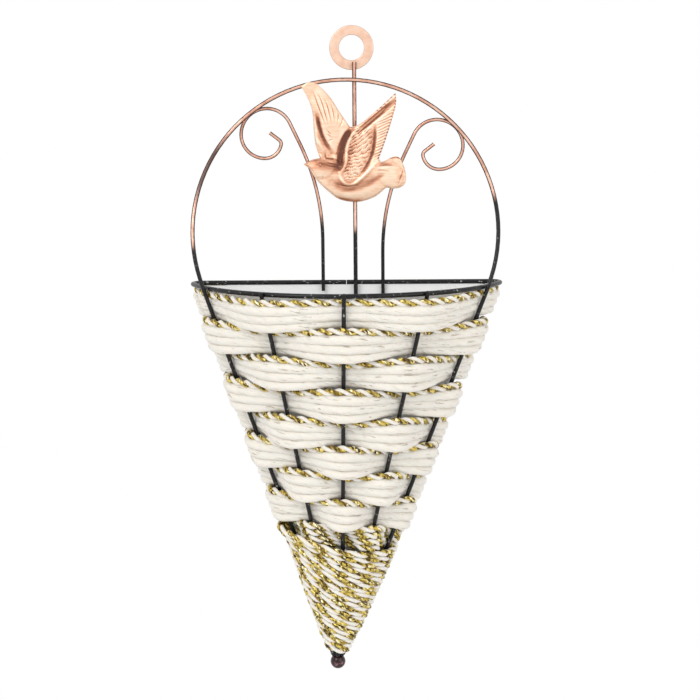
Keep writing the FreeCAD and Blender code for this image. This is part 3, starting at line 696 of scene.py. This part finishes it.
# pressed lines: points, half width, depth
DOVE_CUTS = [
    ([(-26.8, 41.7), (-25.7, 35.2), (-22.8, 25.0), (-19.2, 17.8), (-15.2, 11.3)], 1.7, 1.6),
    ([(-20.7, 35.2), (-23.9, 43.8), (-26.8, 51.8), (-29.7, 60.4)], 0.7, 0.7),
    ([(-18.1, 35.2), (-20.7, 44.5), (-22.8, 51.8), (-25.7, 59.0)], 0.7, 0.7),
    ([(-15.2, 35.2), (-17.0, 43.8), (-18.5, 49.6), (-20.7, 54.7)], 0.7, 0.7),
    ([(-12.7, 35.2), (-13.1, 41.7), (-14.2, 46.7), (-15.2, 50.3)], 0.7, 0.7),
    ([(-10.2, 34.1), (-9.5, 38.8), (-9.5, 42.4), (-10.2, 45.3)], 0.7, 0.7),
    ([(-8.0, 32.3), (-6.2, 35.9), (-5.8, 38.8), (-6.6, 41.7)], 0.7, 0.6),
    ([(-19.2, 29.4), (-15.2, 25.8)], 0.6, 0.5),
    ([(-18.5, 25.8), (-14.9, 23.6)], 0.6, 0.5),
    ([(-17.8, 20.0), (-14.2, 21.8)], 0.6, 0.5),
    ([(1.4, 30.1), (-2.6, 25.0), (-5.9, 17.8), (-7.6, 10.6), (-8.2, -1.0)], 2.2, 3.4),
    ([(8.2, 26.5), (14.7, 32.3), (23.4, 39.5), (32.1, 46.7), (38.0, 52.4)], 1.2, 1.4),
    ([(20.9, 33.0), (21.2, 25.0), (20.2, 15.6), (18.0, 7.0), (13.3, -1.7), (8.2, -8.2)],
     1.5, 1.4),
    ([(22.0, -1.0), (29.9, -0.2), (38.6, -0.2)], 0.9, 0.9),
    ([(21.2, -4.6), (27.7, -4.2), (32.8, -4.9)], 0.8, 0.7),
    ([(44.4, -4.6), (42.2, -11.1), (40.7, -15.4)], 0.7, 0.5),
    ([(-14.9, -14.0), (-8.4, -18.3), (-1.1, -20.5), (7.5, -19.7), (16.2, -16.1),
      (24.1, -10.4), (30.6, -6.0)], 2.6, 0.9),
    ([(-11.3, -15.4), (-2.6, -17.2), (6.8, -16.5)], 0.7, 0.5),
    ([(-12.0, -26.2), (-4.0, -28.4), (4.6, -29.1)], 1.1, 0.7),
    ([(-20.7, 11.3), (-19.9, 6.3), (-14.2, 5.2), (-8.4, 4.1)], 1.0, 1.1),
    ([(-19.2, 2.6), (-11.3, 0.5)], 0.6, 0.5),
    ([(-18.5, -0.2), (-10.5, -1.3)], 0.6, 0.5),
    ([(-22.1, -7.5), (-22.8, -11.8)], 0.6, 0.3),
]
DOVE_RIDGES = [
    ([(5.4, 29.4), (0.3, 22.1), (-2.6, 13.5), (-3.0, 4.8), (-4.8, -1.7), (-7.7, -6.0)],
     1.2, 1.2),
    ([(6.8, 31.9), (14.7, 38.6), (23.4, 45.6), (32.1, 52.5), (38.2, 57.2)], 1.2, 1.8),
    ([(22.0, 3.4), (16.2, -3.9), (9.0, -11.1), (2.5, -15.8), (-4.0, -15.0), (-7.7, -10.4),
      (-8.4, -6.0)], 1.3, 1.0),
    ([(-30.8, 44.5), (-29.0, 32.3), (-27.9, 22.1), (-22.1, 14.2)], 1.6, 0.9),
]
# rounded forms: centre, half axes, rise
DOVE_SWELLS = [
    ((2.5, -10.4), (42.4, 21.5), 5.0),
    ((-26.4, -0.6), (14.0, 11.0), 2.6),
    ((37.1, -6.7), (13.3, 13.3), 1.6),
    ((-17.0, 39.5), (18.8, 31.8), 1.8),
    ((14.7, 20.7), (24.6, 34.7), 2.4),
    ((-24.6, 0.8), (1.2, 1.2), 0.9),
]
# darker brown along lines: points, half width, strength
DOVE_BROWN_LINES = [
    ([(-34.0, 1.5), (-22.0, 1.0), (-6.0, -1.6)], 4.6, 0.5),
    ([(-27.5, 43.4), (-24.9, 29.6), (-22.3, 20.0), (-16.6, 10.4)], 2.4, 0.40),
    # painted shade: the deep valley between the wings
    ([(1.2, 30.1), (-5.2, 19.8), (-8.2, 8.1), (-8.7, -2.3)], 2.9, 0.7),
    ([(7.0, 28.5), (12.7, 33.9), (23.1, 42.4), (35.7, 53.0)], 2.2, 0.35),
    ([(19.5, 32.8), (19.5, 20.0), (17.9, 9.4), (11.7, -3.4)], 3.2, 0.36),
    ([(5.4, 20.0), (0.2, 10.4), (-1.9, -1.3)], 3.0, 0.30),
    ([(-15.5, -14.0), (-3.0, -16.2), (10.6, -15.1), (24.0, -9.0)], 3.6, 0.30),
    ([(-10.3, -21.0), (8.5, -19.9)], 1.4, 0.20),
    ([(22.1, 0.9), (36.7, 1.4)], 1.4, 0.35),
    ([(41.9, -5.5), (41.9, -14.0)], 3.0, 0.22),
    ([(-14.5, -26.8), (-3.0, -30.0), (12.7, -28.9)], 1.8, 0.30),
]
COVERTS_LEFT = [(3.2, 30.8), (0.3, 22.1), (-1.5, 10.6), (-1.9, 3.4), (-4.8, -3.9),
                (-4.8, -12.5)]
COVERTS_RIGHT = [(19.8, 32.3), (19.8, 25.0), (18.7, 15.6), (16.5, 7.0), (11.9, -1.7),
                 (4.8, -12.5)]
COVERTS_LOW, COVERTS_HIGH, COVERT_PITCH = -12.5, 31, 2.7
FLIGHT_GAP, FLIGHT_LOW, FLIGHT_PITCH, FLIGHT_RISE = 2.5, 4, 2.3, 0.26


def outline_points(curves, step):
    """The outline's curves, each smooth, as points a step apart."""
    outline = []
    for curve in curves:
        line = smooth_line([Vector((x, 0, z)) for x, z in curve], step)
        outline += [(x, z) for x, _, z in line[:-1]]
    return np.array(outline)


def bowed(line):
    """A pressed line, made smooth."""
    return [(x, z) for x, _, z in smooth_line([Vector((x, 0, z)) for x, z in line], 2.5)]


def to_line(spots, line):
    """Distance from each spot to a line of points."""
    least = np.full(len(spots), 1e9)
    for a, b in zip(line, line[1:]):
        a, b = np.array(a, float), np.array(b, float)
        share = np.clip((spots - a) @ (b - a) / ((b - a) @ (b - a)), 0, 1)
        least = np.minimum(least, np.linalg.norm(spots - a - share[:, None] * (b - a), axis=1))
    return least


def inside(spots, outline):
    """Which spots lie inside a closed outline."""
    within = np.zeros(len(spots), bool)
    for (ax, az), (bx, bz) in zip(outline, np.roll(outline, -1, axis=0)):
        crosses = (az > spots[:, 1]) != (bz > spots[:, 1])
        with np.errstate(divide="ignore", invalid="ignore"):
            at = ax + (spots[:, 1] - az) * (bx - ax) / (bz - az)
        within ^= crosses & (spots[:, 0] < at)
    return within


def tapered(spots, line):
    """1 along a pressed line, fading to its two ends."""
    ends = np.minimum(np.linalg.norm(spots - np.array(line[0]), axis=1),
                      np.linalg.norm(spots - np.array(line[-1]), axis=1))
    length = sum(math.dist(a, b) for a, b in zip(line, line[1:]))
    return 0.2 + 0.8 * np.clip(ends / min(6, 0.4 * length), 0, 1)


def fade(distance, width):
    """From 0 at a border to 1, within a width."""
    return np.clip(distance / width, 0, 1)


def pressed(spots, line, width):
    """A rounded line's profile: 1 on it, falling off to its sides and ends."""
    return tapered(spots, line) * np.exp(-(to_line(spots, line) / width) ** 2)


def dove_rise(spots, rim):
    """Height of the pressed relief above the flat sheet, in millimetres."""
    x, z = spots[:, 0], spots[:, 1]
    rise = np.zeros(len(spots))
    for (cx, cz), (rx, rz), height in DOVE_SWELLS:
        out = ((x - cx) / rx) ** 2 + ((z - cz) / rz) ** 2
        rise += height * np.clip(1 - out, 0, 1) ** 1.1
    for line, width, height in DOVE_RIDGES:
        rise += height * pressed(spots, line, width)
    for line, width, depth in DOVE_CUTS:
        rise -= depth * pressed(spots, line, width)
    # short overlapping feathers on the near wing, steep at the top and level below
    left = np.interp(z, *zip(*[(b, a) for a, b in reversed(COVERTS_LEFT)]))
    right = np.interp(z, *zip(*[(b, a) for a, b in reversed(COVERTS_RIGHT)]))
    within = (fade(x - left, 1.2) * fade(right - x, 1.2)
              * fade(z - COVERTS_LOW, 1.5) * fade(COVERTS_HIGH - z, 2))
    steep = np.interp(z, (-8, 8, 30), (0.05, 0.25, 0.9))
    row = (z - steep * (x - left)) / COVERT_PITCH + 0.12 * np.sin(x * 1.1)
    saw = row - np.floor(row)
    rise += within * (0.8 + 0.3 * np.sin(x * 0.9 + z * 0.5)) * (saw ** 1.4 - 0.5)
    # long flight feathers, from the coverts out to the trailing edge
    flight = (fade(x - right - FLIGHT_GAP, 2) * fade(z - FLIGHT_LOW, 4)
              * fade(0.82 * (x - 8) + 24 - z, 3))
    vane = (z - 0.45 * x) / FLIGHT_PITCH + 0.1 * np.sin(z * 0.7)
    rise += flight * FLIGHT_RISE * np.sin(2 * math.pi * vane)
    edge = fade(rim, 1.6)
    return np.clip(rise, -DOVE_EDGE, None) * edge ** 0.6 + DOVE_EDGE * edge


def dove_patina_and_painted_light(spots, rim):
    """How much brown is on each spot, patina and painted shade: 0.2 is plain, less is painted
    highlight.
    """
    def hollow(reach):
        around = sum(dove_rise(spots + (dx * reach, dz * reach), rim)
                     for dx, dz in ((1, 0), (-1, 0), (0, 1), (0, -1)))
        return around / 4 - dove_rise(spots, rim)

    # pressed lines and hollows darken as patina and painted shade; raised forms go lighter as
    # painted highlight
    patina_and_painted_light = 0.2 + 0.9 * np.clip(hollow(0.8), -0.12, 0.5) + 0.22 * np.clip(hollow(3), -0.6, 1.2)
    for line, width, strength in DOVE_BROWN_LINES:
        patina_and_painted_light += strength * pressed(spots, line, width)
    x, z = spots[:, 0], spots[:, 1]
    # dark dashes along the near wing's trailing edge
    ragged = (rim < 1.1) & (x > 22) & (z > 5) & (np.sin(z * 2.4) > 0.1)
    return np.clip(np.where(ragged, patina_and_painted_light + 0.4, patina_and_painted_light), 0, 1)


DOVE_CUTS, DOVE_RIDGES, DOVE_BROWN_LINES = (
    [(bowed(line), width, amount) for line, width, amount in lines]
    for lines in (DOVE_CUTS, DOVE_RIDGES, DOVE_BROWN_LINES))


def dove_sheet():
    outline = outline_points(DOVE_OUTLINE, DOVE_EDGE_STEP)
    low, high = outline.min(0), outline.max(0)
    rows = np.arange(low[1], high[1], DOVE_CELL * CELL_HEIGHT)
    grid = np.array([(x + (i % 2) * DOVE_CELL / 2, z) for i, z in enumerate(rows)
                     for x in np.arange(low[0], high[0], DOVE_CELL)])
    grid = grid[inside(grid, outline)]
    closed = np.vstack([outline, outline[:1]])
    grid = grid[to_line(grid, closed) > DOVE_CELL * CELL_CLEAR]
    spots = [Vector(p) for p in np.vstack([outline, grid])]
    count = len(outline)
    edges = [(a, (a + 1) % count) for a in range(count)]
    flat, _, faces, *_ = delaunay_2d_cdt(spots, edges, [], 1, 1e-5)
    flat = np.array([tuple(p) for p in flat])
    rim = to_line(flat, closed)
    rise = dove_rise(flat, rim)
    patina_and_painted_light = dove_patina_and_painted_light(flat, rim)
    front = [(x, -DOVE_SHEET - up, z) for (x, z), up in zip(flat, rise)]
    behind = [(x, -up, z) for (x, z), up in zip(flat, rise)]
    total = len(flat)
    shell = []
    for a, b, c in faces:
        turn = ((flat[b][0] - flat[a][0]) * (flat[c][1] - flat[a][1])
                - (flat[b][1] - flat[a][1]) * (flat[c][0] - flat[a][0]))
        face = (a, b, c) if turn > 0 else (a, c, b)
        shell.append(face)
        shell.append(tuple(total + v for v in reversed(face)))
    used = dict.fromkeys((a, b) for face in shell[::2] for a, b in zip(face, face[1:] + face[:1]))
    shell += [(b, a, total + a, total + b) for a, b in used if (b, a) not in used]
    dove = keep("dove_pressed", [Vector(p) + DOVE_PLACE for p in front + behind], shell)
    mark = dove.data.attributes.new("patina_and_painted_light", "FLOAT", "POINT")
    mark.data.foreach_set("value", np.concatenate([patina_and_painted_light, patina_and_painted_light * 0.4 + 0.3]))
    return dove


def pressed_copper():
    finish, shader, node, links = new_finish("pressed_copper")
    place = node("ShaderNodeTexCoord").outputs["Object"]
    cloud = node("ShaderNodeTexNoise", {"Vector": place, "Scale": 60.0, "Detail": 4.0})
    stretched = node("ShaderNodeVectorMath", {0: place, 1: (0.3, 1, 1.6)},
                     operation="MULTIPLY")
    stroke = node("ShaderNodeTexNoise", {"Vector": stretched.outputs[0], "Scale": 420.0,
                                         "Detail": 3.0})
    blotchy = node("ShaderNodeMath", {0: cloud.outputs["Fac"], 1: 0.5,
                                      2: stroke.outputs["Fac"]}, operation="MULTIPLY_ADD")
    # brown share: patina with painted shade; its low end is painted highlight
    patina_and_painted_light = node("ShaderNodeAttribute", attribute_name="patina_and_painted_light").outputs["Fac"]
    brown_share = node("ShaderNodeMath", {0: blotchy.outputs[0], 1: 0.34, 2: patina_and_painted_light},
                  operation="MULTIPLY_ADD")
    spread = node("ShaderNodeMapRange", {"Value": brown_share.outputs[0], "From Min": 0.25,
                                         "From Max": 1.25})
    tint = colour_steps(node, spread.outputs["Result"],
                        [(0.02, (0.99, 0.83, 0.66)), (0.20, (0.93, 0.64, 0.45)),
                         (0.40, (0.72, 0.36, 0.22)), (0.64, (0.34, 0.12, 0.06)),
                         (0.90, (0.14, 0.045, 0.025))])
    links.new(tint, shader.inputs["Base Color"])
    shader.inputs["Metallic"].default_value = 0.4
    shader.inputs["Roughness"].default_value = 0.36
    roughen(node, links, shader, stroke.outputs["Fac"], 0.25, 0.0003)
    return finish


dove = dove_sheet()
dove.data.materials.append(pressed_copper())
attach(dove, "root")
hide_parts("dove_ornament")

# ---------------------------------------------------------------- camera, floor and light
# The photograph looks slightly down at the planter, which hangs free before plain white.
# The floor and the sky are plain white where they are seen, and light it at a plain level.
EYE = Vector((28.2, -1650.4, -10.8)) * 0.001
YAW, PITCH, ROLL, FOCAL_PX = 0.019, -0.147, -0.008, 1954.2
PHOTO_PX, SENSOR = 700, 36
FLOOR_Z, FLOOR_HALF = -900, 6000
SKY_LIGHT, SKY_SEEN = 0.80, 1.0
AIM = Vector((0, 0, -0.25))
looking = Vector((-math.sin(YAW) * math.cos(PITCH), math.cos(YAW) * math.cos(PITCH),
                  math.sin(PITCH)))
rightward = looking.cross(Vector((0, 0, 1))).normalized()
upward = rightward.cross(looking)
right_hand = rightward * math.cos(ROLL) + upward * math.sin(ROLL)
head_up = upward * math.cos(ROLL) - rightward * math.sin(ROLL)
lens = bpy.data.cameras.new("camera")
lens.sensor_width = SENSOR
lens.lens = FOCAL_PX * SENSOR / PHOTO_PX
camera = bpy.data.objects.new("camera", lens)
bpy.context.collection.objects.link(camera)
camera.matrix_world = Matrix.Translation(EYE) @ Matrix(
    (right_hand, head_up, -looking)).transposed().to_4x4()
bpy.context.scene.camera = camera


def seen_itself(node):
    """1 for rays that show the background: in the view, in metal and in glass."""
    rays = node("ShaderNodeLightPath").outputs
    plain = node("ShaderNodeMath", {0: rays["Is Camera Ray"], 1: rays["Is Glossy Ray"]},
                 operation="MAXIMUM")
    return node("ShaderNodeMath", {0: plain.outputs[0], 1: rays["Is Transmission Ray"]},
                operation="MAXIMUM").outputs[0]


floor = keep("floor", [(x * FLOOR_HALF, y * FLOOR_HALF, FLOOR_Z)
                       for x, y in ((-1, -1), (1, -1), (1, 1), (-1, 1))], [(0, 1, 2, 3)])
white, shader, node, links = new_finish("white_floor")
shader.inputs["Base Color"].default_value = (0.9, 0.9, 0.9, 1)
shader.inputs["Roughness"].default_value = 0.9
glow = node("ShaderNodeEmission", {"Color": (1, 1, 1, 1), "Strength": 1.0})
both = node("ShaderNodeMixShader", {0: seen_itself(node), 1: shader.outputs[0],
                                    2: glow.outputs[0]})
links.new(both.outputs[0], white.node_tree.nodes["Material Output"].inputs["Surface"])
floor.data.materials.append(white)

world = bpy.data.worlds.new("studio")
bpy.context.scene.world = world
world.use_nodes = True
sky = world.node_tree
node = node_maker(sky)
level = node("ShaderNodeMapRange", {"Value": seen_itself(node), "To Min": SKY_LIGHT,
                                    "To Max": SKY_SEEN})
background = sky.nodes["Background"]
sky.links.new(level.outputs["Result"], background.inputs["Strength"])
background.inputs["Color"].default_value = (1, 1, 1, 1)

for name, place, width, watts in (("key", (-1.3, -1.9, 1.2), 1.1, 22),
                                  ("fill", (1.7, -1.6, 0.2), 1.4, 9)):
    lamp = bpy.data.lights.new(name, "AREA")
    lamp.shape = "SQUARE"
    lamp.size = width
    lamp.energy = watts
    thing = bpy.data.objects.new(name, lamp)
    bpy.context.collection.objects.link(thing)
    turned = (AIM - Vector(place)).to_track_quat("-Z", "Y").to_matrix().to_4x4()
    thing.matrix_world = Matrix.Translation(place) @ turned

bpy.context.scene.view_settings.view_transform = "Standard"
